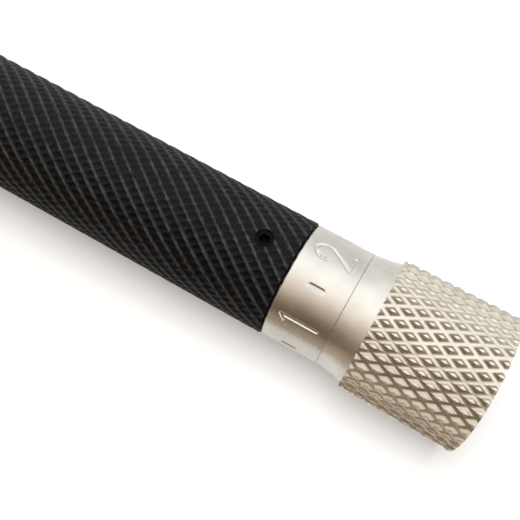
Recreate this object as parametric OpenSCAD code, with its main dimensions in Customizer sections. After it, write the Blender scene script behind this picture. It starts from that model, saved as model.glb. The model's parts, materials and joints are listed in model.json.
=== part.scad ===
// Ring sizer stick with a dial.
//
// A knurled handle carries a four-leaf expanding gauge. Turning the knob turns a lead screw, the
// lead screw pushes a cam bar towards the tip, and pins in 45 degree slots carry the four leaves
// outwards. One turn of the knob opens the gauge by five ring sizes, and the numbered dial
// ring shows the size against the index screw in the handle.
//
// Every piece is drawn on a local axis where +Z runs from the butt face of the knob to the tip and
// +X is up. along_tool() lays that axis down: the knob is at +X and the tip at -X, the tool rests
// on a flat of the leaf guide at Z = 0, and the origin is below the middle of its length.

/* [Handle] */
// Outside diameter of the handle tube, over the knurl
handle_d = 16; // [15.5:0.1:16.5]
// Inside diameter of the handle tube
handle_bore_d = 12; // [11.9:0.05:12.1]
// Length of the handle tube
handle_len = 105; // [90:1:140]
// Distance from the tube's rear end to the index screw
index_offset = 4.3; // [4:0.1:6]
// Angle of the index screw round the handle, from the top towards the back
index_angle = 5.5; // [0:0.5:20]

/* [Knob and dial] */
// Diameter of the knob's knurled barrel at its butt end
knob_d = 18.8; // [18.4:0.1:20]
// Diameter of the barrel at its front end
knob_front_d = 18.2; // [17.8:0.1:18.4]
// Length of the knurled barrel
knob_len = 15.9; // [15:0.1:20]
// Largest diameter of the flared neck, where it meets the barrel
neck_d = 17; // [16:0.1:17.2]
// Length of the flared neck
neck_len = 3.75; // [3:0.05:6]
// Outside diameter of the numbered dial ring
ring_d = 15.8; // [15:0.1:16]
// Length of the dial ring
ring_len = 8; // [7.5:0.1:10]
// Numbers around the dial, which is also the ring sizes in one turn
numbers = 5; // [4:1:6]
// Dial reading at which the tool is drawn
rest_reading = 1.75; // [1.6:0.05:2]

/* [Ring sizes] */
// Inside diameter of a ring of size 0
size_zero_d = 11.63; // [11.6:0.01:11.7]
// Growth in inside diameter from one whole size to the next
size_step = 0.8128; // [0.8:0.0001:0.82]
// Number of steps on the gauge
steps = 3; // [3:1:4]
// Length of each step
step_len = 24; // [24:1:30]

/* [Leaf guide] */
// Width across the flats of the octagonal guide
guide_w = 27; // [26:0.5:32]
// Length of the guide ahead of the tube
guide_len = 11; // [11:0.5:14]
// Thickness of the cover plate
cover_t = 3; // [3:0.1:4]

/* [Hidden] */

$fn = 96;
eps = 0.01;          // overlap of a cutting tool past a face
long = 60;           // longer than any local cut needs
steel = "#b9b2a4";
dark_steel = "#6f6c68";
brass = "#b99a55";
black = "#17171a";

// Clearances
run_gap = 0.15;      // between end faces that turn or slide past each other
bore_gap = 0.03;     // radial, between a shaft and its bore
slide_gap = 0.05;    // each side, between a sliding foot and its slot

// Motion: the 45 degree cam slots make the leaf travel equal to the cam bar travel
lead = numbers * size_step / 2;
closed_travel = (1 - rest_reading) * lead / numbers;
open_travel = (numbers - rest_reading) * lead / numbers;
travel = open_travel - closed_travel;

// Stations along the tool, from the butt face
seam_z = knob_len + neck_len;
index_z = seam_z + ring_len;
tube_z = index_z + run_gap;
tube_end_z = tube_z + handle_len;
guide_end_z = tube_end_z + guide_len;
cover_end_z = guide_end_z + cover_t;
leaf_z = cover_end_z + run_gap;
leaf_end_z = leaf_z + steps * step_len;
nose_gap = 0.5;
nose_z = leaf_end_z + nose_gap;
nose_len = 7;
total_len = nose_z + nose_len;

// Lead screw and its bearings
shaft_r = 3;
spigot_r = 6.5;
counterbore_r = 5;
counterbore_h = 4.6;
web_h = 1.4;
screw_z = counterbore_h + web_h;
shoulder_r = 4.5;
shoulder_z = index_z - 0.4;
shoulder_h = 1.9;
washer_h = 0.9;
bush_len = 14;
bush_end_z = tube_z + bush_len;
bush_seat_h = shoulder_z + shoulder_h + washer_h + 0.1 - tube_z;
clip_z = bush_end_z + 0.1;
clip_r = 5;
clip_h = 0.8;
clip_groove_r = 2.4;
thread_pitch = lead / 2;      // a two-start thread
thread_z = clip_z + 3;
thread_turns = 17;
thread_depth = 0.45;
screw_end_z = thread_z + thread_turns * thread_pitch + 0.6;
oring_r = 0.4;
oring_z = tube_z + 7.8;
oring_groove_depth = 0.8;
knob_screw_r = 1.5;
knob_screw_len = 10;
knob_head_r = 2.75;
knob_head_h = 3;
knob_washer_r = 4;
knob_washer_h = 0.8;
knob_hole_r = knob_screw_r + 0.1;

// Drive nut and cam bar
nut_z = thread_z + 2;
nut_bore_end_z = screw_end_z + 1;
nut_end_z = nut_bore_end_z + 7;
nut_pin_z = nut_bore_end_z + 3.5;
nut_pin_r = 1;
shank_r = 4;
core_r = 2.5;
shank_end_z = leaf_z - open_travel - 0.5;
fin_r = 6.9;
fin_t = 2.2;
fin_z = leaf_z + 2;
fin_end_z = leaf_z + 2 * step_len - 2;
core_end_z = nose_z + 3;
guide_spigot_len = 16;

// Leaves
leaf_gap = 0.6;      // width of the slots between leaves at the drawn reading
leaf_bore_r = core_r - closed_travel + 0.25;
fin_slot_r = fin_r - closed_travel + 0.25;
lead_in = 0.8;       // chamfer that guides a ring onto each step
pin_r = 0.8;
pin_radius_at = 4.1; // distance of the cam pins from the axis at the drawn reading
pin_half_len = 2.8;
pin_stations = [leaf_z + 12, leaf_z + 2 * step_len - 10];
foot_in = 4.6;
foot_out = 9.6;
foot_w = 8;
neck_w = 5;
pocket_z = guide_end_z - 5.05;
pocket_r = foot_out + open_travel + 0.18;

// Small screws
set_screw_r = 1.2;
set_screw_recess = 0.45;
index_screw_in = shaft_r + 1;
lock_screw_in = shank_r + 0.5;
cover_screw_at = 9.9;
cover_screw_r = 1.25;
cover_head_r = 2.3;
nose_screw_r = 1.25;
nose_head_r = 2.2;
nose_head_h = 2;
nose_head_sink = 0.3;
nose_hole_depth = 8;
nose_screw_grip = 6;
nose_head_z = nose_z + nose_len - nose_head_h - nose_head_sink;

function size_r(size) = (size_zero_d + size_step * size) / 2;
function step_r(i) = size_r(rest_reading + i * numbers);
function step_end_z(i) = leaf_end_z - i * step_len;

// Angle round the local axis at which a dial reading stands in the drawn position
function reading_angle(reading) = index_angle + (reading - rest_reading) * 360 / numbers;

// Lays the local axis down: local +Z becomes -X, and local +X becomes up
module along_tool() {
    translate([total_len / 2, 0, guide_w / 2]) rotate([0, -90, 0]) children();
}

module ring(r_out, r_in, z, h) {
    translate([0, 0, z]) difference() {
        cylinder(r = r_out, h = h);
        translate([0, 0, -eps]) cylinder(r = r_in, h = h + 2 * eps);
    }
}

module octagon(w, z, h) {
    translate([0, 0, z]) rotate([0, 0, 22.5]) cylinder(r = w / 2 / cos(22.5), h = h, $fn = 8);
}

// A hexagon socket for a key, sunk h below a face at z
module key_socket(across, z, h) {
    translate([0, 0, z - h]) cylinder(d = across / cos(30), h = h + eps, $fn = 6);
}

// A headless screw that stands radially in the tube, from r_in to its recessed outer end
module set_screw(r_in) {
    r_out = handle_d / 2 - set_screw_recess;
    rotate([0, 90, 0]) difference() {
        translate([0, 0, r_in]) cylinder(r = set_screw_r, h = r_out - r_in);
        key_socket(1.3, r_out, 1.2);
    }
}

// The hole that a set screw stands in
module set_screw_hole(r_in) {
    rotate([0, 90, 0]) translate([0, 0, r_in]) cylinder(r = set_screw_r, h = long);
}

// Places of the two set screws: the index at the rear, and the lock under the front end
module at_index_screw() {
    translate([0, 0, tube_z + index_offset]) rotate([0, 0, index_angle]) children();
}

module at_lock_screw() {
    translate([0, 0, tube_end_z - guide_spigot_len / 2]) rotate([0, 0, 180]) children();
}

module handle_tube() {
    chamfer = 0.3;
    r = handle_d / 2;
    color(black) along_tool() difference() {
        rotate_extrude() polygon([
            [handle_bore_d / 2, tube_z], [r - chamfer, tube_z], [r, tube_z + chamfer],
            [r, tube_end_z - chamfer], [r - chamfer, tube_end_z], [handle_bore_d / 2, tube_end_z]
        ]);
        at_index_screw() set_screw_hole(0);
        at_lock_screw() set_screw_hole(0);
    }
}

module index_screw() {
    color(black) along_tool() at_index_screw() set_screw(index_screw_in);
}

module front_lock_screw() {
    color(black) along_tool() at_lock_screw() set_screw(lock_screw_in);
}

module rear_bush() {
    color(brass) along_tool() difference() {
        ring(handle_bore_d / 2, shaft_r + bore_gap, tube_z, bush_len);
        translate([0, 0, tube_z - eps]) cylinder(r = shoulder_r + 0.2, h = bush_seat_h + eps);
        at_index_screw() set_screw_hole(index_screw_in);
    }
}

module thrust_washer() {
    color(brass) along_tool()
        ring(shoulder_r + 0.1, shaft_r + 0.1, shoulder_z + shoulder_h + 0.05, washer_h);
}

// Radial slots for the four leaves: a cross of arms of width w, reaching r
module leaf_cross(w, r, z, h) {
    translate([0, 0, z]) for (a = [0, 90])
        rotate([0, 0, a]) translate([-r, -w / 2, 0]) cube([2 * r, w, h]);
}

// Runs its children at the four screw places between the leaves
module at_cover_screws() {
    for (a = [45:90:315]) rotate([0, 0, a]) translate([cover_screw_at, 0, 0]) children();
}

module leaf_guide() {
    color(steel) along_tool() difference() {
        union() {
            octagon(guide_w, tube_end_z, guide_len);
            translate([0, 0, tube_end_z - guide_spigot_len])
                cylinder(d = handle_bore_d, h = guide_spigot_len + eps);
        }
        translate([0, 0, tube_end_z - guide_spigot_len - eps])
            cylinder(r = shank_r + bore_gap, h = guide_spigot_len + guide_len + 2 * eps);
        leaf_cross(foot_w + 2 * slide_gap, pocket_r, pocket_z, guide_end_z - pocket_z + eps);
        at_cover_screws() translate([0, 0, pocket_z]) cylinder(r = cover_screw_r, h = long);
        at_lock_screw() set_screw_hole(lock_screw_in);
        // chamfer on the corners behind the flats
        rear_chamfer = 1.2;
        rotate_extrude() polygon([
            [guide_w / 2 - rear_chamfer, tube_end_z - eps], [guide_w, tube_end_z - eps],
            [guide_w, tube_end_z + guide_w / 2 + rear_chamfer]
        ]);
    }
}

module guide_cover() {
    color(steel) along_tool() difference() {
        octagon(guide_w, guide_end_z, cover_t);
        translate([0, 0, guide_end_z - eps]) cylinder(r = shank_r + 0.1, h = cover_t + 2 * eps);
        leaf_cross(neck_w + 2 * slide_gap, pocket_r, guide_end_z - eps, cover_t + 2 * eps);
        at_cover_screws() {
            translate([0, 0, guide_end_z - eps]) cylinder(r = cover_screw_r, h = cover_t + 2 * eps);
            translate([0, 0, cover_end_z - cover_head_r + cover_screw_r])
                cylinder(r1 = cover_screw_r, r2 = cover_head_r, h = cover_head_r - cover_screw_r);
        }
        // chamfer on the front corners
        front_chamfer = 1;
        rotate_extrude() polygon([
            [guide_w / 2 - front_chamfer, cover_end_z + eps], [guide_w, cover_end_z + eps],
            [guide_w, cover_end_z - guide_w / 2 - front_chamfer]
        ]);
    }
}

module cover_screws() {
    head_h = cover_head_r - cover_screw_r;
    color(dark_steel) along_tool() at_cover_screws() difference() {
        union() {
            translate([0, 0, cover_end_z - head_h])
                cylinder(r1 = cover_screw_r, r2 = cover_head_r, h = head_h);
            translate([0, 0, pocket_z])
                cylinder(r = cover_screw_r, h = cover_end_z - head_h - pocket_z);
        }
        key_socket(1.5, cover_end_z, 0.9);
    }
}

module knob() {
    chamfer = 0.5;
    front_chamfer = 0.3;
    r = knob_d / 2;
    front_r = knob_front_d / 2;
    flare = neck_d / 2 - ring_d / 2;
    flare_steps = 8;
    color(steel) along_tool() difference() {
        rotate_extrude() polygon(concat(
            [[0, 0], [r - chamfer, 0], [r, chamfer], [front_r, knob_len - front_chamfer],
             [front_r - front_chamfer, knob_len]],
            // the neck narrows in a hollow curve from the barrel to the dial ring
            [for (i = [0:flare_steps])
                let (t = i / flare_steps) [ring_d / 2 + flare * pow(1 - t, 1.6), knob_len + neck_len * t]],
            [[spigot_r, seam_z], [spigot_r, shoulder_z], [0, shoulder_z]]
        ));
        translate([0, 0, -eps]) cylinder(r = counterbore_r, h = counterbore_h + eps);
        translate([0, 0, -eps]) cylinder(r = knob_hole_r, h = screw_z + 2 * eps);
        translate([0, 0, screw_z]) cylinder(r = shaft_r, h = shoulder_z - screw_z + eps);
    }
}

module dial_ring() {
    chamfer = 0.2;
    tick_len = 2.2;
    tick_w = 0.4;
    tick_depth = 0.3;
    r = ring_d / 2;
    color(steel) along_tool() difference() {
        rotate_extrude() polygon([
            [spigot_r, seam_z], [r, seam_z], [r, index_z - chamfer], [r - chamfer, index_z],
            [spigot_r, index_z]
        ]);
        // a tick stands halfway between each number and the next
        for (n = [1:numbers])
            rotate([0, 0, reading_angle(n + 0.5)])
                translate([r - tick_depth, -tick_w / 2, seam_z + ring_len / 2 - tick_len / 2])
                    cube([long, tick_w, tick_len]);
    }
}

// Outline of a groove in the lead screw's shaft
function groove(z, h, r) = [[shaft_r, z], [r, z], [r, z + h], [shaft_r, z + h]];

// The lead screw turns in the rear bush. Its thread is drawn as ridges with the real pitch.
module lead_screw() {
    minor_r = shaft_r - thread_depth;
    color(dark_steel) along_tool() difference() {
        rotate_extrude() polygon(concat(
            [[0, screw_z], [shaft_r, screw_z], [shaft_r, shoulder_z], [shoulder_r, shoulder_z],
             [shoulder_r, shoulder_z + shoulder_h], [shaft_r, shoulder_z + shoulder_h]],
            groove(oring_z - oring_r - 0.1, 2 * oring_r + 0.2, shaft_r - oring_groove_depth),
            groove(clip_z, clip_h + 0.1, clip_groove_r),
            [[shaft_r, thread_z - 1], [minor_r, thread_z - 1 + thread_depth]],
            [for (i = [0:thread_turns - 1], p = [[0, 0], [1, 0.4], [1, 0.6], [0, 1]])
                [minor_r + p[0] * thread_depth, thread_z + (i + p[1] * 0.96) * thread_pitch]],
            [[minor_r, screw_end_z], [0, screw_end_z]]
        ));
        translate([0, 0, screw_z - eps]) cylinder(r = knob_screw_r, h = knob_screw_len);
    }
}

module knob_screw() {
    head_end_z = counterbore_h - knob_washer_h;
    key_across = 2.5;
    key_depth = 1.6;
    color(dark_steel) along_tool() difference() {
        union() {
            translate([0, 0, head_end_z - knob_head_h]) cylinder(r = knob_head_r, h = knob_head_h);
            translate([0, 0, head_end_z]) cylinder(r = knob_screw_r, h = knob_screw_len);
        }
        key_socket(key_across, head_end_z - knob_head_h + key_depth, key_depth + eps);
    }
}

module knob_washer() {
    color(steel) along_tool()
        ring(knob_washer_r, knob_hole_r, counterbore_h - knob_washer_h, knob_washer_h);
}

// An open clip in the groove ahead of the bush
module retaining_ring() {
    mouth = 4;
    color(dark_steel) along_tool() difference() {
        ring(clip_r, clip_groove_r, clip_z + 0.05, clip_h);
        translate([0, -mouth / 2, clip_z - 1]) cube([long, mouth, clip_h + 2]);
    }
}

// The rubber ring that gives the dial its drag
module friction_ring() {
    color(black) along_tool() translate([0, 0, oring_z])
        rotate_extrude() translate([shaft_r + bore_gap / 2 - oring_r, 0]) circle(r = oring_r, $fn = 32);
}

module drive_nut() {
    color(brass) along_tool() difference() {
        translate([0, 0, nut_z]) cylinder(r = handle_bore_d / 2 - 0.1, h = nut_end_z - nut_z);
        translate([0, 0, nut_z - eps])
            cylinder(r = shaft_r + bore_gap, h = nut_bore_end_z - nut_z + 2 * eps);
        translate([0, 0, nut_bore_end_z]) cylinder(r = shank_r, h = long);
        translate([0, 0, nut_pin_z]) rotate([90, 0, 0]) cylinder(r = nut_pin_r, h = long, center = true);
    }
}

module nut_pin() {
    color(dark_steel) along_tool() translate([0, 0, nut_pin_z]) rotate([90, 0, 0])
        cylinder(r = nut_pin_r, h = handle_bore_d - 0.4, center = true);
}

// One 45 degree slot of a fin. Its ends are the pin's places with the gauge closed and open.
module cam_slot() {
    slot_r = pin_r + slide_gap;
    run = travel * sqrt(2);
    rotate([90, 0, 0]) linear_extrude(height = fin_t + 2, center = true)
        translate([closed_travel, -closed_travel]) rotate([0, 0, -45]) {
            circle(r = slot_r);
            translate([0, -slot_r]) square([run, 2 * slot_r]);
            translate([run, 0]) circle(r = slot_r);
        }
}

module cam_bar() {
    color(dark_steel) along_tool() difference() {
        union() {
            translate([0, 0, nut_bore_end_z])
                cylinder(r = shank_r, h = shank_end_z - nut_bore_end_z);
            translate([0, 0, shank_end_z - eps])
                cylinder(r = core_r, h = core_end_z - shank_end_z + eps);
            for (a = [0, 90]) rotate([0, 0, a])
                translate([-fin_r, -fin_t / 2, fin_z]) cube([2 * fin_r, fin_t, fin_end_z - fin_z]);
        }
        for (a = [0:90:270], z = pin_stations)
            rotate([0, 0, a]) translate([pin_radius_at, 0, z]) cam_slot();
        translate([0, 0, nut_pin_z]) rotate([90, 0, 0])
            cylinder(r = nut_pin_r, h = long, center = true);
        translate([0, 0, core_end_z - nose_hole_depth]) cylinder(r = nose_screw_r, h = long);
    }
}

module nose_cone() {
    base_r = step_r(0) + closed_travel - 0.15;
    face_r = 3;
    curve_steps = 10;
    straight = 1.5;
    color(steel) along_tool() difference() {
        rotate_extrude() polygon(concat(
            [[0, nose_z], [base_r - 0.3, nose_z], [base_r, nose_z + 0.3]],
            [for (i = [0:curve_steps]) let (a = 90 * i / curve_steps)
                [face_r + (base_r - face_r) * cos(a), nose_z + straight + (nose_len - straight) * sin(a)]],
            [[0, nose_z + nose_len]]
        ));
        translate([0, 0, nose_z - eps]) cylinder(r = core_r, h = core_end_z - nose_z + eps);
        cylinder(r = nose_screw_r + 0.05, h = nose_z + long);
        translate([0, 0, nose_head_z]) cylinder(r = nose_head_r + 0.1, h = long);
    }
}

module nose_screw() {
    color(dark_steel) along_tool() difference() {
        union() {
            translate([0, 0, nose_head_z]) cylinder(r = nose_head_r, h = nose_head_h);
            translate([0, 0, core_end_z - nose_screw_grip])
                cylinder(r = nose_screw_r, h = nose_head_z - core_end_z + nose_screw_grip + eps);
        }
        key_socket(2, nose_head_z + nose_head_h, 1.2);
    }
}

// Outline of the stepped gauge, from the guide to the tip, as points of radius and station
function gauge_outline() = concat(
    [[leaf_bore_r, leaf_z]],
    [for (i = [steps - 1:-1:0], p = [[0, -step_len], [0, -lead_in], [-lead_in / 2, 0]])
        [step_r(i) + p[0], step_end_z(i) + p[1]]],
    [[leaf_bore_r, leaf_end_z]]
);

// One quarter of the gauge, centred on local +X, with its T-shaped foot in the guide
module leaf() {
    apex = leaf_gap / 2 * sqrt(2);
    foot_h = guide_end_z - run_gap - pocket_z - 0.1;
    difference() {
        union() {
            intersection() {
                rotate_extrude() polygon(gauge_outline());
                translate([0, 0, leaf_z - 1]) linear_extrude(height = steps * step_len + 2)
                    polygon([[apex, 0], [apex + long, long], [apex + long, -long]]);
            }
            translate([foot_in, -foot_w / 2, pocket_z + 0.1]) cube([foot_out - foot_in, foot_w, foot_h]);
            translate([foot_in, -neck_w / 2, pocket_z + 0.1])
                cube([foot_out - foot_in, neck_w, leaf_z - pocket_z]);
        }
        translate([0, -fin_t / 2 - slide_gap, fin_z + closed_travel - 0.3])
            cube([fin_slot_r, fin_t + 2 * slide_gap, fin_end_z - fin_z + travel + 0.6]);
        for (z = pin_stations)
            translate([pin_radius_at, 0, z]) rotate([90, 0, 0])
                cylinder(r = pin_r, h = long, center = true);
    }
}

// The two pins that carry a leaf on the cam bar
module cam_pins() {
    for (z = pin_stations)
        translate([pin_radius_at, 0, z]) rotate([90, 0, 0])
            cylinder(r = pin_r, h = 2 * pin_half_len, center = true);
}

// Turns a leaf piece to its place around the axis: 0 is the top, and 90 the back
module at_leaf(angle) { along_tool() rotate([0, 0, angle]) children(); }

handle_tube();
index_screw();
rear_bush();
thrust_washer();
leaf_guide();
guide_cover();
cover_screws();
front_lock_screw();
knob();
dial_ring();
lead_screw();
knob_screw();
knob_washer();
retaining_ring();
friction_ring();
drive_nut();
nut_pin();
cam_bar();
nose_cone();
nose_screw();
color(steel) at_leaf(0) leaf();  // leaf_top
color(steel) at_leaf(90) leaf();  // leaf_back
color(steel) at_leaf(180) leaf();  // leaf_bottom
color(steel) at_leaf(270) leaf();  // leaf_front
color(dark_steel) at_leaf(0) cam_pins();  // cam_pins_top
color(dark_steel) at_leaf(90) cam_pins();  // cam_pins_back
color(dark_steel) at_leaf(180) cam_pins();  // cam_pins_bottom
color(dark_steel) at_leaf(270) cam_pins();  // cam_pins_front
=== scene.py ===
import json
import math

import bmesh
import bpy
import numpy as np
from mathutils import Matrix, Quaternion, Vector

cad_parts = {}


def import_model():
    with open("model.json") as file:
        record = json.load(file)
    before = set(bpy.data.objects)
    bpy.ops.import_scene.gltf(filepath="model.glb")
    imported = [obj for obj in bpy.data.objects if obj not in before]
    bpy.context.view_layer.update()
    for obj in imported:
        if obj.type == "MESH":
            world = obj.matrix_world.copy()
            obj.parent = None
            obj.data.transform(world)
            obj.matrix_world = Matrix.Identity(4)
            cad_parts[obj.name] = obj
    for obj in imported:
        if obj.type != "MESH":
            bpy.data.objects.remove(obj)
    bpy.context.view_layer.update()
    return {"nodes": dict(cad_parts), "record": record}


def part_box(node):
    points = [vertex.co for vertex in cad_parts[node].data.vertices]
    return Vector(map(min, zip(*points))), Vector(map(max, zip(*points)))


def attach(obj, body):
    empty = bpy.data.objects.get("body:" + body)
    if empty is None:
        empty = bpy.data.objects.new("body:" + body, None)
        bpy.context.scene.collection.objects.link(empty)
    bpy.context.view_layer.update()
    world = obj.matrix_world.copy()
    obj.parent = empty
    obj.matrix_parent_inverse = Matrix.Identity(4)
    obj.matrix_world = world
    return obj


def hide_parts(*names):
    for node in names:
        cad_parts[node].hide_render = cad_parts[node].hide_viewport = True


# Looks of the dial ring sizer stick. The tool lies along X with its knob at +X, and its axis runs
# through y = 0, z = AXIS_Z. Angles round the axis are measured from +Z by a positive turn about +X.

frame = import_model()

MM = 0.001
TUBE_LO, TUBE_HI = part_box("handle_tube")
RING_LO, RING_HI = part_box("dial_ring")
KNOB_LO, KNOB_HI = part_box("knob")
AXIS_Z = (TUBE_LO.z + TUBE_HI.z) / 2
TUBE_R = (TUBE_HI.z - TUBE_LO.z) / 2
RING_R = (RING_HI.z - RING_LO.z) / 2
KNOB_R = (KNOB_HI.z - KNOB_LO.z) / 2

# Dimensions that the boxes can't give, as in the CAD model
BORE_R = 6 * MM
SPIGOT_R = 6.5 * MM
SHAFT_R = 3 * MM
SEAT_DEPTH = 0.4 * MM       # from the dial ring's front face back to the knob's spigot end
NECK_LEN = 3.75 * MM
NECK_R = 8.5 * MM
KNOB_FRONT_R = 9.1 * MM     # the barrel widens evenly from here to KNOB_R at the butt
BUTT_ROUND = 0.5 * MM
RECESS_R = 5 * MM           # the recess in the butt, where the knob screw's head is
RECESS_DEPTH = 4.6 * MM
RECESS_LIP = 0.3 * MM
WEB = 1.4 * MM              # what the knob screw holds, at the recess's bottom
KNOB_SCREW_HOLE_R = 1.6 * MM
SET_SCREW_R = 1.2 * MM
INDEX_OFFSET = 4.3 * MM     # from the tube's rear end to the index screw
INDEX_ANGLE = -5.5
LOCK_OFFSET = 8 * MM        # from the tube's front end to the lock screw
LOCK_ANGLE = 180
REST_READING = 1.75
NUMBERS = 5
GUIDE_CHAMFER = 1.2 * MM

BARREL_X = RING_HI.x + NECK_LEN
KNOB_TAPER = (KNOB_R - KNOB_FRONT_R) / (KNOB_HI.x - BARREL_X)
GRIP_DEPTH = 0.22 * MM
KNOB_DEPTH = 0.46 * MM

KEY_AT = (0.07, 0.03, 0.5)  # the key light's place over the tool, in metres


# ---------------------------------------------------------------- mesh helpers

def on_axis(x, r, degrees):
    """The point at radius r and an angle round the tool's axis."""
    a = math.radians(degrees)
    return Vector((x, -r * math.sin(a), AXIS_Z + r * math.cos(a)))


def make_object(name, verts, faces):
    mesh = bpy.data.meshes.new(name)
    mesh.from_pydata([tuple(v) for v in verts], [], [tuple(f) for f in faces])
    mesh.validate()
    obj = bpy.data.objects.new(name, mesh)
    bpy.context.scene.collection.objects.link(obj)
    return obj


def lathe(name, profile):
    """A closed ring or solid turned about the tool's axis from a closed outline of (x, r) points."""
    segments = 192
    verts = []
    index = []
    for x, r in profile:
        if r < 0.0001 * MM:
            index.append([len(verts)] * segments)
            verts.append((x, 0, AXIS_Z))
            continue
        index.append(list(range(len(verts), len(verts) + segments)))
        verts += [on_axis(x, r, 360 * k / segments) for k in range(segments)]
    faces = []
    for a, b in zip(index, index[1:] + index[:1]):
        for k in range(segments):
            n = (k + 1) % segments
            corners = [a[k], a[n], b[n], b[k]]
            corners = [c for i, c in enumerate(corners) if c != corners[i - 1]]
            if len(corners) > 2:
                faces.append(corners)
    obj = make_object(name, verts, faces)
    face_outwards(obj)
    return obj


def face_outwards(obj):
    bm = bmesh.new()
    bm.from_mesh(obj.data)
    bmesh.ops.recalc_face_normals(bm, faces=bm.faces)
    if bm.calc_volume(signed=True) < 0:
        bmesh.ops.reverse_faces(bm, faces=bm.faces)
    bm.to_mesh(obj.data)
    bm.free()


def apply_modifiers(obj):
    bpy.context.view_layer.update()
    result = bpy.data.meshes.new_from_object(obj.evaluated_get(bpy.context.evaluated_depsgraph_get()))
    obj.modifiers.clear()
    obj.data = result


def boolean(target, tool, operation):
    """Cuts, joins or intersects target with tool, and deletes the tool."""
    modifier = target.modifiers.new("boolean", "BOOLEAN")
    modifier.object = tool
    modifier.operation = operation
    modifier.solver = "MANIFOLD"
    apply_modifiers(target)
    bpy.data.objects.remove(tool)


def merge_slivers(obj):
    """Merges the nearly coincident points that booleans leave."""
    bm = bmesh.new()
    bm.from_mesh(obj.data)
    bmesh.ops.remove_doubles(bm, verts=bm.verts, dist=0.0005 * MM)
    bmesh.ops.dissolve_degenerate(bm, dist=0.0001 * MM, edges=bm.edges)
    bmesh.ops.triangulate(bm, faces=[f for f in bm.faces if len(f.verts) > 4])
    bm.to_mesh(obj.data)
    bm.free()


def shade(obj, degrees):
    """Smooth shading, with edges kept sharp where faces turn by more than an angle."""
    obj.data.shade_smooth()
    obj.data.set_sharp_from_angle(angle=math.radians(degrees))


def arc_points(cx, cy, rx, ry, start, end, count=12):
    """Points on an elliptical arc, with angles in degrees."""
    turns = [math.radians(start + (end - start) * k / count) for k in range(count + 1)]
    return [(cx + rx * math.cos(t), cy + ry * math.sin(t)) for t in turns]


# ---------------------------------------------------------------- knurls

def knurled_rod(name, x0, x1, radius, depth, starts, helix, stations, profile, crossing, taper=0.0):
    """A solid rod with a diamond knurl made by two families of helical lines.

    starts and helix give each family's number of lines and its angle to the axis. stations are the
    grid lines across one diamond, from 0 to 1, and profile gives a family's height there, from 0 to
    1. crossing makes one height of the two families' heights. radius is the crests' at x1, and
    taper its growth along X. The ends are ragged by less than a diamond.
    """
    n1, n2 = starts
    t1, t2 = (math.tan(math.radians(a)) for a in helix)
    k = len(stations)
    station = np.array(stations)
    height = np.array([profile(s) for s in stations])
    # one row of diamonds is this long along the axis, and two spare rows are made past each end
    cell_x = 2 * math.pi * radius / (t1 + t2) / n2
    low = math.floor(x0 / cell_x) - 2
    high = math.ceil(x1 / cell_x) + 2
    columns = n1 * k
    rows = (high - low) * k
    # a column runs along one grid line of the first family, and starts at the grid line of the second
    # family that keeps the rod's end about square
    shift = [math.floor(c * n2 / n1) for c in range(columns + 1)]
    verts = np.zeros((columns, rows, 3))
    for c in range(columns):
        v = np.arange(rows) + low * k + shift[c]
        a = 2 * math.pi * (c // k + stations[c % k]) / n1
        b = 2 * math.pi * (v // k + station[v % k]) / n2
        h = crossing(height[c % k], height[v % k])
        theta = (a * t2 + b * t1) / (t1 + t2)
        x = radius * (b - a) / (t1 + t2)
        r = radius + taper * (x - x1) - depth * (1 - h)
        verts[c, :, 0] = x
        verts[c, :, 1] = -r * np.sin(theta)
        verts[c, :, 2] = AXIS_Z + r * np.cos(theta)
    faces = []
    for c in range(columns):
        n = (c + 1) % columns
        step = shift[c + 1] - shift[c]
        for m in range(step, rows - 1):
            p00 = c * rows + m
            p01 = p00 + 1
            p10 = n * rows + m - step
            p11 = p10 + 1
            # each square is split along the diagonal that runs to its diamond's middle
            rising = (c % k < k / 2) == ((m + low * k + shift[c]) % k < k / 2)
            if rising:
                faces += [(p00, p10, p11), (p00, p11, p01)]
            else:
                faces += [(p00, p10, p01), (p10, p11, p01)]
    obj = make_object(name, verts.reshape(-1, 3), faces)
    close_ends(obj)
    return obj


def close_ends(obj):
    """Closes the two ragged ends of a rod with a fan to the axis, and deletes loose points."""
    bm = bmesh.new()
    bm.from_mesh(obj.data)
    bmesh.ops.delete(bm, geom=[v for v in bm.verts if not v.link_faces], context="VERTS")
    xs = [v.co.x for v in bm.verts]
    middle = (min(xs) + max(xs)) / 2
    centres = [bm.verts.new((x, 0, AXIS_Z)) for x in (min(xs), max(xs))]
    for e in [e for e in bm.edges if e.is_boundary]:
        bm.faces.new((*e.verts, centres[e.verts[0].co.x > middle]))
    bm.to_mesh(obj.data)
    bm.free()
    face_outwards(obj)


def cut_diamonds(a, b):
    """Two families of grooves, which leave separate diamonds standing."""
    return np.minimum(a, b)


def raised_lattice(a, b):
    """Ridges joined by lower rungs, which leave separate diamonds sunk."""
    rung = 0.4
    return np.maximum(a, rung * b)


def crest_profile(groove, crest):
    """Height across a knurl's pitch: a flat groove, rounded flanks and a flat crest."""
    def height(s):
        d = min(s, 1 - s)
        t = min(1, max(0, (d - groove / 2) / (0.5 - crest / 2 - groove / 2)))
        return t * t * (3 - 2 * t)
    return height


# ---------------------------------------------------------------- the dial ring's numbers

# Each figure is a list of lines in a box one wide and one high, with its middle at 0, 0
FIGURES = {
    1: [[(-0.22, 0.38), (0.05, 0.5), (0.05, -0.5)]],
    2: [arc_points(0, 0.24, 0.46, 0.26, 200, -28) + [(-0.48, -0.5), (0.5, -0.5)]],
    3: [arc_points(0, 0.25, 0.42, 0.25, 160, -80) + arc_points(0, -0.23, 0.48, 0.27, 80, -160)],
    4: [[(0.5, -0.18), (-0.5, -0.18), (0.2, 0.5), (0.2, -0.5)]],
    5: [[(0.42, 0.5), (-0.36, 0.5), (-0.42, 0.08)] + arc_points(-0.02, -0.18, 0.46, 0.32, 120, -150)],
}
TICK = [[(0, 0.5), (0, -0.5)]]


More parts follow.
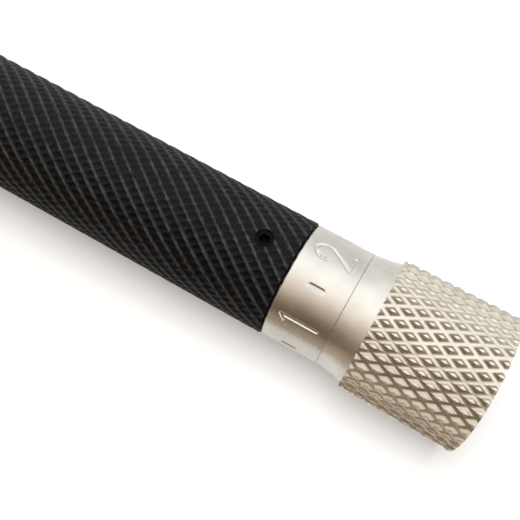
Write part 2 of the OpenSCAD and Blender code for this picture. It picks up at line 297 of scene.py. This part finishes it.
def stroke_distance(px, py, strokes, width, height):
    """Distance of each point to the nearest stroke of a figure of that width and height."""
    best = np.full(px.shape, 1.0)
    for line in strokes:
        points = [(x * width, y * height) for x, y in line]
        for (ax, ay), (bx, by) in zip(points, points[1:]):
            dx, dy = bx - ax, by - ay
            t = np.clip(((px - ax) * dx + (py - ay) * dy) / (dx * dx + dy * dy), 0, 1)
            best = np.minimum(best, np.hypot(px - ax - t * dx, py - ay - t * dy))
    return best


def numbered_ring():
    """The dial ring: a turned ring whose outside is a fine grid, sunk along the figures' strokes."""
    around = 720
    along = 104
    figure_w = 2.3 * MM
    figure_h = 4.9 * MM
    figure_half = 0.27 * MM     # half a stroke's width
    tick_len = 1.6 * MM
    tick_half = 0.42 * MM
    stroke_depth = 0.16 * MM
    bottom = 0.4                # share of a stroke's width that is flat at its bottom
    chamfer = 0.2 * MM
    seam = 0.07 * MM            # chamfer at the knob's neck
    front = RING_LO.x
    back = RING_HI.x
    middle = (front + back) / 2
    theta = np.radians(np.arange(around) * 360 / around)
    outside = np.linspace(front + chamfer, back - seam, along)
    sink = np.zeros((along, around))
    for n in range(1, NUMBERS + 1):
        for reading, strokes, h, half in (
            (n, FIGURES[n], figure_h, figure_half),
            (n + 0.5, TICK, tick_len, tick_half),
        ):
            angle = math.radians(INDEX_ANGLE + (REST_READING - reading) * 360 / NUMBERS)
            offset = (theta - angle + math.pi) % (2 * math.pi) - math.pi
            px, py = np.meshgrid(-offset * RING_R, middle - outside)
            d = stroke_distance(px, py, strokes, figure_w, h) / half
            wall = np.clip((d - bottom) / (1 - bottom), 0, 1)
            sink = np.maximum(sink, 0.5 + 0.5 * np.cos(math.pi * wall))
    plain = np.zeros(around)
    rows = [(front, SPIGOT_R, plain), (front, RING_R - chamfer, plain)]
    rows += [(x, RING_R, stroke_depth * s) for x, s in zip(outside, sink)]
    rows += [(back, RING_R - seam, plain), (back, SPIGOT_R, plain)]
    verts = []
    for x, r, sunk in rows:
        y = -(r - sunk) * np.sin(theta)
        z = AXIS_Z + (r - sunk) * np.cos(theta)
        verts.append(np.stack([np.full(around, x), y, z], 1))
    faces = []
    for a in range(len(rows)):
        b = (a + 1) % len(rows)
        for k in range(around):
            n = (k + 1) % around
            faces.append((a * around + k, a * around + n, b * around + n, b * around + k))
    ring = make_object("numbered_ring", np.concatenate(verts), faces)
    face_outwards(ring)
    shade(ring, 40)
    return ring


# ---------------------------------------------------------------- handle

def drill_set_screw_hole(obj, x, degrees):
    """A radial hole through the tube's wall, with its outer edge just broken."""
    segments = 64
    edge = 0.02 * MM
    inside = BORE_R - 1 * MM
    outside = TUBE_R + 1 * MM
    place = Matrix.Translation((x, 0, AXIS_Z)) @ Matrix.Rotation(math.radians(degrees), 4, "X")
    for z0, z1, r0, r1 in ((inside, outside, SET_SCREW_R, SET_SCREW_R),
                           (TUBE_R - edge, TUBE_R + edge, SET_SCREW_R, SET_SCREW_R + 2 * edge)):
        bm = bmesh.new()
        shape = bmesh.ops.create_cone(
            bm, cap_ends=True, segments=segments, radius1=r0, radius2=r1, depth=z1 - z0)
        lift = Matrix.Translation((0, 0, (z0 + z1) / 2))
        bmesh.ops.transform(bm, matrix=place @ lift, verts=shape["verts"])
        drill = make_object("drill", [], [])
        bm.to_mesh(drill.data)
        bm.free()
        boolean(obj, drill, "DIFFERENCE")


def handle_grip():
    """The black tube, with a fine raised lattice, chamfered ends and the holes of its set screws."""
    front_chamfer = 0.3 * MM
    rear_chamfer = 0.12 * MM
    spare = 1 * MM
    over = 0.05 * MM            # the shell that trims the ends stands this far over the crests
    tube = knurled_rod(
        "handle_grip", TUBE_LO.x - spare, TUBE_HI.x + spare, TUBE_R, GRIP_DEPTH,
        starts=(28, 39), helix=(37.3, 37), stations=(0.24, 0.46, 0.54, 0.76),
        profile=crest_profile(groove=0.48, crest=0.08), crossing=raised_lattice)
    r = TUBE_R + over
    front = front_chamfer + over
    rear = rear_chamfer + over
    shell = lathe("shell", [
        (TUBE_LO.x, BORE_R), (TUBE_LO.x, r - front), (TUBE_LO.x + front, r), (TUBE_HI.x - rear, r),
        (TUBE_HI.x, r - rear), (TUBE_HI.x, BORE_R)])
    boolean(tube, shell, "INTERSECT")
    drill_set_screw_hole(tube, TUBE_HI.x - INDEX_OFFSET, INDEX_ANGLE)
    drill_set_screw_hole(tube, TUBE_LO.x + LOCK_OFFSET, LOCK_ANGLE)
    merge_slivers(tube)
    shade(tube, 25)
    return tube


# ---------------------------------------------------------------- knob

def barrel_blank():
    """The barrel's outline, which trims the ends of its knurl."""
    front = 0.3 * MM
    over = 0.05 * MM            # the blank stands this far over the crests
    r = KNOB_R + over
    front_r = KNOB_FRONT_R + over
    edge = arc_points(KNOB_HI.x - BUTT_ROUND, r - BUTT_ROUND, BUTT_ROUND, BUTT_ROUND, 90, 0, 6)
    return lathe("blank", [
        (BARREL_X, 0), (BARREL_X, front_r - front), (BARREL_X + front, front_r), *edge, (KNOB_HI.x, 0)])


def neck_and_spigot():
    """The flared neck, and in front of it the spigot that carries the dial ring."""
    curve_points = 17
    flare_power = 1.6
    seam = 0.06 * MM            # chamfer at the dial ring
    flare = NECK_R - RING_R
    curve = [(BARREL_X - t * NECK_LEN, RING_R + flare * (1 - t) ** flare_power)
             for t in np.linspace(0, 1, curve_points)]
    curve[-1] = (RING_HI.x + seam, curve[-1][1])
    root_r = NECK_R - 1 * MM
    root_x = BARREL_X + 2 * MM
    spigot_end = RING_LO.x + SEAT_DEPTH
    return lathe("neck", [
        (root_x, 0), (root_x, root_r), (BARREL_X, root_r), *curve, (RING_HI.x, RING_R - seam),
        (RING_HI.x, SPIGOT_R), (spigot_end, SPIGOT_R), (spigot_end, 0)])


def knob_hole():
    """The hole through the knob: the butt's recess, the screw's hole and the lead screw's bore."""
    out = KNOB_HI.x + 1 * MM
    web = KNOB_HI.x - RECESS_DEPTH
    shoulder = web - WEB
    past = RING_LO.x + SEAT_DEPTH - 1 * MM
    return lathe("hole", [
        (out, 0), (out, RECESS_R + RECESS_LIP), (KNOB_HI.x, RECESS_R + RECESS_LIP),
        (KNOB_HI.x - RECESS_LIP, RECESS_R), (web, RECESS_R), (web, KNOB_SCREW_HOLE_R),
        (shoulder, KNOB_SCREW_HOLE_R), (shoulder, SHAFT_R), (past, SHAFT_R), (past, 0)])


def knob_body():
    """The knob: a barrel of standing diamonds, its neck and its spigot, in one piece."""
    steps = 12
    knob = knurled_rod(
        "knob_body", BARREL_X - 2 * MM, KNOB_HI.x, KNOB_R, KNOB_DEPTH,
        starts=(35, 35), helix=(28.3, 28.3), stations=[k / steps for k in range(steps)],
        profile=crest_profile(groove=0.2, crest=0.1), crossing=cut_diamonds, taper=KNOB_TAPER)
    boolean(knob, barrel_blank(), "INTERSECT")
    boolean(knob, neck_and_spigot(), "UNION")
    boolean(knob, knob_hole(), "DIFFERENCE")
    merge_slivers(knob)
    shade(knob, 38)
    return knob


# ---------------------------------------------------------------- bevelled copies of CAD pieces

def bevelled(node, name, width):
    """A copy of a CAD node with its facets merged and its sharp edges broken."""
    mesh = frame["nodes"][node].data.copy()
    obj = bpy.data.objects.new(name, mesh)
    bpy.context.scene.collection.objects.link(obj)
    bm = bmesh.new()
    bm.from_mesh(mesh)
    bmesh.ops.remove_doubles(bm, verts=bm.verts, dist=0.001 * MM)
    bmesh.ops.dissolve_limit(bm, angle_limit=math.radians(1), verts=bm.verts, edges=bm.edges)
    bm.to_mesh(mesh)
    bm.free()
    modifier = obj.modifiers.new("bevel", "BEVEL")
    modifier.width = width
    modifier.segments = 2
    modifier.limit_method = "ANGLE"
    modifier.angle_limit = math.radians(35)
    modifier.use_clamp_overlap = True
    apply_modifiers(obj)
    shade(obj, 30)
    return obj


# ---------------------------------------------------------------- materials

class Nodes:
    """A short way to write a material's node tree."""

    def __init__(self, name, roughness, metallic=0.0, colour=(0.5, 0.5, 0.5)):
        self.material = bpy.data.materials.new(name)
        self.material.use_nodes = True
        self.tree = self.material.node_tree
        self.tree.nodes.clear()
        out = self.tree.nodes.new("ShaderNodeOutputMaterial")
        self.shader = self.tree.nodes.new("ShaderNodeBsdfPrincipled")
        self.link(self.shader.outputs[0], out.inputs["Surface"])
        self.set(self.shader, "Base Color", (*colour, 1))
        self.set(self.shader, "Metallic", metallic)
        self.set(self.shader, "Roughness", roughness)
        self.material.diffuse_color = (*colour, 1)

    def link(self, a, b):
        self.tree.links.new(a, b)

    def set(self, node, socket, value):
        if isinstance(value, bpy.types.NodeSocket):
            self.link(value, node.inputs[socket])
        else:
            node.inputs[socket].default_value = value

    def add(self, kind, values=None, **settings):
        node = self.tree.nodes.new(kind)
        for key, value in settings.items():
            setattr(node, key, value)
        for socket, value in (values or {}).items():
            self.set(node, socket, value)
        return node

    def math(self, operation, a, b=0.0):
        return self.add("ShaderNodeMath", {0: a, 1: b}, operation=operation).outputs[0]

    def place(self):
        """The shaded point, in the object's own coordinates."""
        return self.add("ShaderNodeTexCoord").outputs["Object"]

    def split(self, point):
        """A point's x and y, its height above the tool's axis and its distance from that axis."""
        x, y, z = self.add("ShaderNodeSeparateXYZ", {0: point}).outputs
        up = self.math("SUBTRACT", z, AXIS_Z)
        return x, y, up, self.math("SQRT", self.sum_of_squares(y, up))

    def sum_of_squares(self, a, b):
        return self.math("ADD", self.math("MULTIPLY", a, a), self.math("MULTIPLY", b, b))

    def noise(self, vector, scale, detail=3.0, roughness=0.5):
        return self.add("ShaderNodeTexNoise", {
            "Vector": vector, "Scale": scale, "Detail": detail, "Roughness": roughness}).outputs["Fac"]

    def stretch(self, vector, factors):
        return self.add("ShaderNodeMapping", {"Vector": vector, "Scale": factors}).outputs[0]

    def remap(self, value, low, high, to_low, to_high):
        return self.add("ShaderNodeMapRange", {
            "Value": value, "From Min": low, "From Max": high,
            "To Min": to_low, "To Max": to_high}).outputs[0]

    def mix(self, factor, a, b):
        node = self.add("ShaderNodeMix", data_type="RGBA")
        self.set(node, 0, factor)
        self.set(node, 6, (*a, 1) if isinstance(a, tuple) else a)
        self.set(node, 7, (*b, 1) if isinstance(b, tuple) else b)
        return node.outputs[2]

    def bump(self, height, strength, distance):
        node = self.add("ShaderNodeBump", {"Height": height, "Strength": strength, "Distance": distance})
        self.set(self.shader, "Normal", node.outputs[0])

    def glow(self, colour, strength):
        """Light from the surface itself, which then has no gloss."""
        self.set(self.shader, "Specular IOR Level", 0.0)
        self.set(self.shader, "Emission Color", (*colour, 1))
        self.set(self.shader, "Emission Strength", strength)


def set_ramp(ramp, stops):
    """Gives a colour ramp its stops, each a position from 0 to 1 and a colour."""
    points = ramp.color_ramp.elements
    while len(points) < len(stops):
        points.new(0.5)
    for point, (position, colour) in zip(points, stops):
        point.position = position
        point.color = (*colour, 1)


def turned_metal(name, colour, roughness, line_strength=0.35, darker=0.82):
    """Metal with fine lathe lines round the axis, faint blotches and uneven polish."""
    m = Nodes(name, roughness, 1.0, colour)
    place = m.place()
    lines = m.noise(m.stretch(place, (1.0, 0.02, 0.02)), 9000, 4, 0.65)
    wide = m.noise(m.stretch(place, (1.0, 0.03, 0.03)), 1500, 2)
    cloud = m.noise(place, 220, 3)
    low = tuple(c * darker for c in colour)
    blotched = m.mix(m.remap(cloud, 0.3, 0.7, 0, 1), low, colour)
    bright = tuple(min(1, c * 1.1) for c in colour)
    m.set(m.shader, "Base Color", m.mix(m.remap(lines, 0.35, 0.65, 0, 0.35), blotched, bright))
    uneven = m.math("ADD", cloud, lines)
    m.set(m.shader, "Roughness", m.remap(uneven, 0.6, 1.4, roughness * 0.8, roughness * 1.25))
    m.bump(m.math("ADD", lines, m.math("MULTIPLY", wide, 0.6)), line_strength, 0.01 * MM)
    return m.material


def knurled_metal(name, tones, roughness, radius, depth, metallic=1.0, specular=0.5,
                  wear=(350, 0.9, 1.05), taper=0.0, x_end=0.0, plain_to=-1.0, plain=(0, 0, 0)):
    """Rolled metal, shade and highlight painted by height: tones lists a height, from 0 to 1, and the
    colour there.

    wear is the fineness of the uneven tone, and its darkest and lightest shares. radius is the
    crests' at x_end and taper its growth along X. Up to plain_to the colour is plain.
    """
    m = Nodes(name, roughness, metallic, tones[-1][1])
    m.set(m.shader, "Specular IOR Level", specular)
    place = m.place()
    x, _, _, r = m.split(place)
    growth = m.math("MULTIPLY", m.math("SUBTRACT", x, x_end), taper)
    height = m.remap(m.math("SUBTRACT", r, growth), radius - depth, radius, 0, 1)
    # Painted shade and highlight: the ramp darkens and lightens the metal by the knurl's height.
    painted_light_by_height = m.add("ShaderNodeValToRGB", {0: height})
    set_ramp(painted_light_by_height, tones)
    tone = m.mix(m.math("LESS_THAN", x, plain_to), painted_light_by_height.outputs[0], plain)
    fineness, darkest, lightest = wear
    worn = m.remap(m.noise(place, fineness, 3), 0.3, 0.7, darkest, lightest)
    tone = m.add("ShaderNodeVectorMath", {0: tone, "Scale": worn}, operation="SCALE").outputs[0]
    m.set(m.shader, "Base Color", tone)
    grain = m.noise(place, 6000, 3, 0.6)
    m.set(m.shader, "Roughness", m.remap(grain, 0.3, 0.7, roughness * 0.85, roughness * 1.2))
    m.bump(grain, 0.25, 0.02 * MM)
    return m.material


def plain_finish(name, colour, roughness, specular=0.5):
    """An even finish with a fine grain and slow changes of tone."""
    m = Nodes(name, roughness, colour=colour)
    m.set(m.shader, "Specular IOR Level", specular)
    place = m.place()
    low = tuple(c * 0.8 for c in colour)
    m.set(m.shader, "Base Color", m.mix(m.remap(m.noise(place, 260, 3), 0.3, 0.7, 0, 1), low, colour))
    grain = m.noise(place, 3000, 3, 0.6)
    m.set(m.shader, "Roughness", m.remap(grain, 0.3, 0.7, roughness * 0.85, roughness * 1.2))
    m.bump(grain, 0.2, 0.02 * MM)
    return m.material


NICKEL = (0.56, 0.543, 0.5)

MATERIALS = {
    # Painted shade, darkest in the grooves, and crests lighter as worn edges and painted highlight.
    "black_anodised": knurled_metal(
        "black_anodised",
        [(0.02, (0.0004, 0.0004, 0.0004)), (0.35, (0.0012, 0.0012, 0.0012)),
         (0.6, (0.004, 0.004, 0.004)), (0.95, (0.011, 0.011, 0.0112))],
        0.42, TUBE_R, GRIP_DEPTH, metallic=0.0, specular=0.11, wear=(1300, 0.25, 1.5)),
    "nickel_satin": turned_metal("nickel_satin", NICKEL, 0.3, line_strength=0.25),
    # Painted shade on the flanks, and a painted highlight on the crests, lighter than the plain nickel.
    "nickel_knurled": knurled_metal(
        "nickel_knurled",
        [(0.04, (0.54, 0.52, 0.46)), (0.2, (0.41, 0.37, 0.3)),
         (0.75, (0.43, 0.39, 0.32)), (0.95, (0.66, 0.65, 0.61))],
        0.3, KNOB_R, KNOB_DEPTH, taper=KNOB_TAPER, x_end=KNOB_HI.x, plain_to=BARREL_X, plain=NICKEL),
    "gauge_steel": turned_metal("gauge_steel", (0.5, 0.49, 0.47), 0.24, 0.3, darker=0.92),
    "guide_steel": turned_metal("guide_steel", (0.42, 0.41, 0.395), 0.34),
    "black_oxide": plain_finish("black_oxide", (0.016, 0.016, 0.018), 0.36),
    # Near-black with little gloss, which paints the shade in the screws' holes.
    "black_oxide_in_painted_shade": plain_finish("black_oxide_in_painted_shade", (0.0008, 0.0008, 0.001), 0.5, specular=0.04),
    "tool_steel": turned_metal("tool_steel", (0.35, 0.34, 0.33), 0.32),
    "brass_turned": turned_metal("brass_turned", (0.5, 0.36, 0.16), 0.28),
    "black_rubber": plain_finish("black_rubber", (0.02, 0.02, 0.02), 0.75),
}


# ---------------------------------------------------------------- the pieces

SLOT_OF = {s["node"]: s["material_slot"] for s in frame["record"]["subparts"]}
BODY_OF = {n: body for body, nodes in frame["record"]["behaviour"]["bodies"].items() for n in nodes}


def stand_for(obj, node):
    """Shows a piece in place of a CAD node, with that node's body and finish."""
    slot = SLOT_OF[node]
    obj.data.materials.clear()
    obj.data.materials.append(MATERIALS[slot])
    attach(obj, BODY_OF[node])
    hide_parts(node)


stand_for(handle_grip(), "handle_tube")
stand_for(numbered_ring(), "dial_ring")
stand_for(knob_body(), "knob")

EDGE_BREAK = {
    "leaf_guide": 0.2 * MM, "guide_cover": 0.2 * MM, "nose_cone": 0.1 * MM,
    "leaf_top": 0.12 * MM, "leaf_back": 0.12 * MM, "leaf_bottom": 0.12 * MM, "leaf_front": 0.12 * MM,
}
for node, width in EDGE_BREAK.items():
    stand_for(bevelled(node, "finished_" + node, width), node)

# The screws sunk in holes get painted shade: a near-black finish in place of their black oxide.
SUNK_SCREWS = ("index_screw", "front_lock_screw")
SHOWN_FROM_CAD = [n for n, o in frame["nodes"].items() if not o.hide_render]
for node in SHOWN_FROM_CAD:
    obj = frame["nodes"][node]
    finish = MATERIALS["black_oxide_in_painted_shade" if node in SUNK_SCREWS else SLOT_OF[node]]
    if not obj.material_slots:
        obj.data.materials.append(finish)
    for slot in obj.material_slots:
        slot.material = finish


# ---------------------------------------------------------------- floor, lights and camera

def seen_only_by(obj, ray):
    """Hides a stage object from every kind of ray but one."""
    for kind in ("camera", "diffuse", "glossy", "transmission", "shadow"):
        setattr(obj, "visible_" + kind, kind == ray)


def floor():
    """Glowing white paper. The tool rests on the rear edge of the guide's flat and on its knob's rim.

    The glow grows as the key light's falls off, so that the floor stays even out to its edges.
    """
    half = 1.5
    clearance = 0.02 * MM
    near_glow = 0.33
    far_glow = 0.78
    edge_x = TUBE_LO.x - GUIDE_CHAMFER
    rim_x = KNOB_HI.x - BUTT_ROUND
    slope = math.atan2(AXIS_Z - KNOB_R, rim_x - edge_x)
    plane = make_object("floor", [(-half, -half, 0), (half, -half, 0), (half, half, 0), (-half, half, 0)],
                        [(0, 1, 2, 3)])
    plane.matrix_world = (Matrix.Translation((edge_x, 0, -clearance))
                          @ Matrix.Rotation(-slope, 4, "Y"))
    paper = Nodes("paper", 0.8, colour=(0.18, 0.18, 0.18))
    x, y, _, _ = paper.split(paper.place())
    spread = paper.math("DIVIDE", paper.sum_of_squares(x, y), KEY_AT[2] ** 2)
    falloff = paper.math("POWER", paper.math("ADD", spread, 1.0), -2.0)
    paper.glow((1.0, 0.96, 0.91), paper.remap(falloff, 0, 1, far_glow, near_glow))
    plane.data.materials.append(paper.material)


def backdrop():
    """A plain pale wall round the scene, which only the camera sees."""
    radius = 1.4
    sides = 64
    low = -0.3
    high = 1.2
    turns = [2 * math.pi * k / sides for k in range(sides)]
    verts = [(radius * math.cos(a), radius * math.sin(a), z) for z in (low, high) for a in turns]
    faces = [(k, (k + 1) % sides, sides + (k + 1) % sides, sides + k) for k in range(sides)]
    wall = make_object("backdrop", verts, faces)
    pale = Nodes("backdrop_pale", 0.9, colour=(0, 0, 0))
    pale.glow((1.0, 0.98, 0.955), 1.0)
    wall.data.materials.append(pale.material)
    seen_only_by(wall, "camera")


def brown_card():
    """A card that stands in front of the tool and shows only as a dull reflection in the metal."""
    y = -35 * MM
    top = 20 * MM
    half = 400 * MM
    corners = [(-half, y, 0), (half, y, 0), (half, y, top), (-half, y, top)]
    card = make_object("brown_card", corners, [(0, 1, 2, 3)])
    dull = Nodes("card_brown", 0.9, colour=(0, 0, 0))
    above_axis = dull.split(dull.place())[2]
    dull.glow((1.0, 0.79, 0.58), dull.remap(above_axis, 0, 12 * MM, 0.6, 0.14))
    card.data.materials.append(dull.material)
    seen_only_by(card, "glossy")


def world():
    """A studio dome: brightest overhead and a little to the back, and dark brown towards the front.

    Each entry is a direction's Y, from -1 in front to +1 behind, the brightness and the warmth.
    """
    strength = 1.95
    dome = (
        (-1.0, 0.085, 0.38), (-0.9, 0.12, 0.36), (-0.75, 0.285, 0.25), (-0.54, 0.53, 0.17),
        (-0.29, 0.78, 0.08), (0.0, 0.93, 0.02), (0.29, 1.0, 0.0), (0.55, 0.92, 0.0), (0.76, 0.74, 0.0),
        (0.91, 0.58, 0.0), (1.0, 0.55, 0.0),
    )
    w = bpy.data.worlds.new("studio")
    bpy.context.scene.world = w
    w.use_nodes = True
    tree = w.node_tree
    tree.nodes.clear()
    out = tree.nodes.new("ShaderNodeOutputWorld")
    background = tree.nodes.new("ShaderNodeBackground")
    place = tree.nodes.new("ShaderNodeTexCoord")
    split = tree.nodes.new("ShaderNodeSeparateXYZ")
    span = tree.nodes.new("ShaderNodeMapRange")
    ramp = tree.nodes.new("ShaderNodeValToRGB")
    set_ramp(ramp, [((y + 1) / 2, (level, level * (1 - warmth), level * (1 - warmth) ** 2))
                    for y, level, warmth in dome])
    span.inputs["From Min"].default_value = -1
    span.inputs["From Max"].default_value = 1
    background.inputs["Strength"].default_value = strength
    tree.links.new(place.outputs["Generated"], split.inputs[0])
    tree.links.new(split.outputs["Y"], span.inputs["Value"])
    tree.links.new(span.outputs[0], ramp.inputs[0])
    tree.links.new(ramp.outputs[0], background.inputs["Color"])
    tree.links.new(background.outputs[0], out.inputs["Surface"])


def key_light():
    """A soft square light overhead, which the metal doesn't mirror."""
    light = bpy.data.lights.new("key", "AREA")
    light.shape = "SQUARE"
    light.size = 0.26
    light.energy = 7.8
    key = bpy.data.objects.new("key", light)
    bpy.context.scene.collection.objects.link(key)
    below = Vector((KEY_AT[0], 0, 0))
    key.location = KEY_AT
    key.rotation_euler = (below - Vector(KEY_AT)).to_track_quat("-Z", "Y").to_euler()
    key.visible_glossy = False


def camera():
    """Looks down along the knob end, with the middle of the picture just inside the tube's end."""
    azimuth, elevation, roll = (math.radians(a) for a in (28.4, 72.1, 1.4))
    distance = 102.4 * MM
    target = Vector((RING_LO.x - 4.75 * MM, 0.26 * MM, AXIS_Z))
    direction = Vector((math.sin(azimuth) * math.cos(elevation),
                        -math.cos(azimuth) * math.cos(elevation), math.sin(elevation)))
    data = bpy.data.cameras.new("camera")
    data.lens = 54.3
    data.clip_start = 0.001
    obj = bpy.data.objects.new("camera", data)
    bpy.context.scene.collection.objects.link(obj)
    obj.location = target + direction * distance
    obj.rotation_euler = ((-direction).to_track_quat("-Z", "Y") @ Quaternion((0, 0, 1), roll)).to_euler()
    bpy.context.scene.camera = obj


floor()
backdrop()
world()
brown_card()
key_light()
camera()
bpy.context.scene.view_settings.view_transform = "Standard"
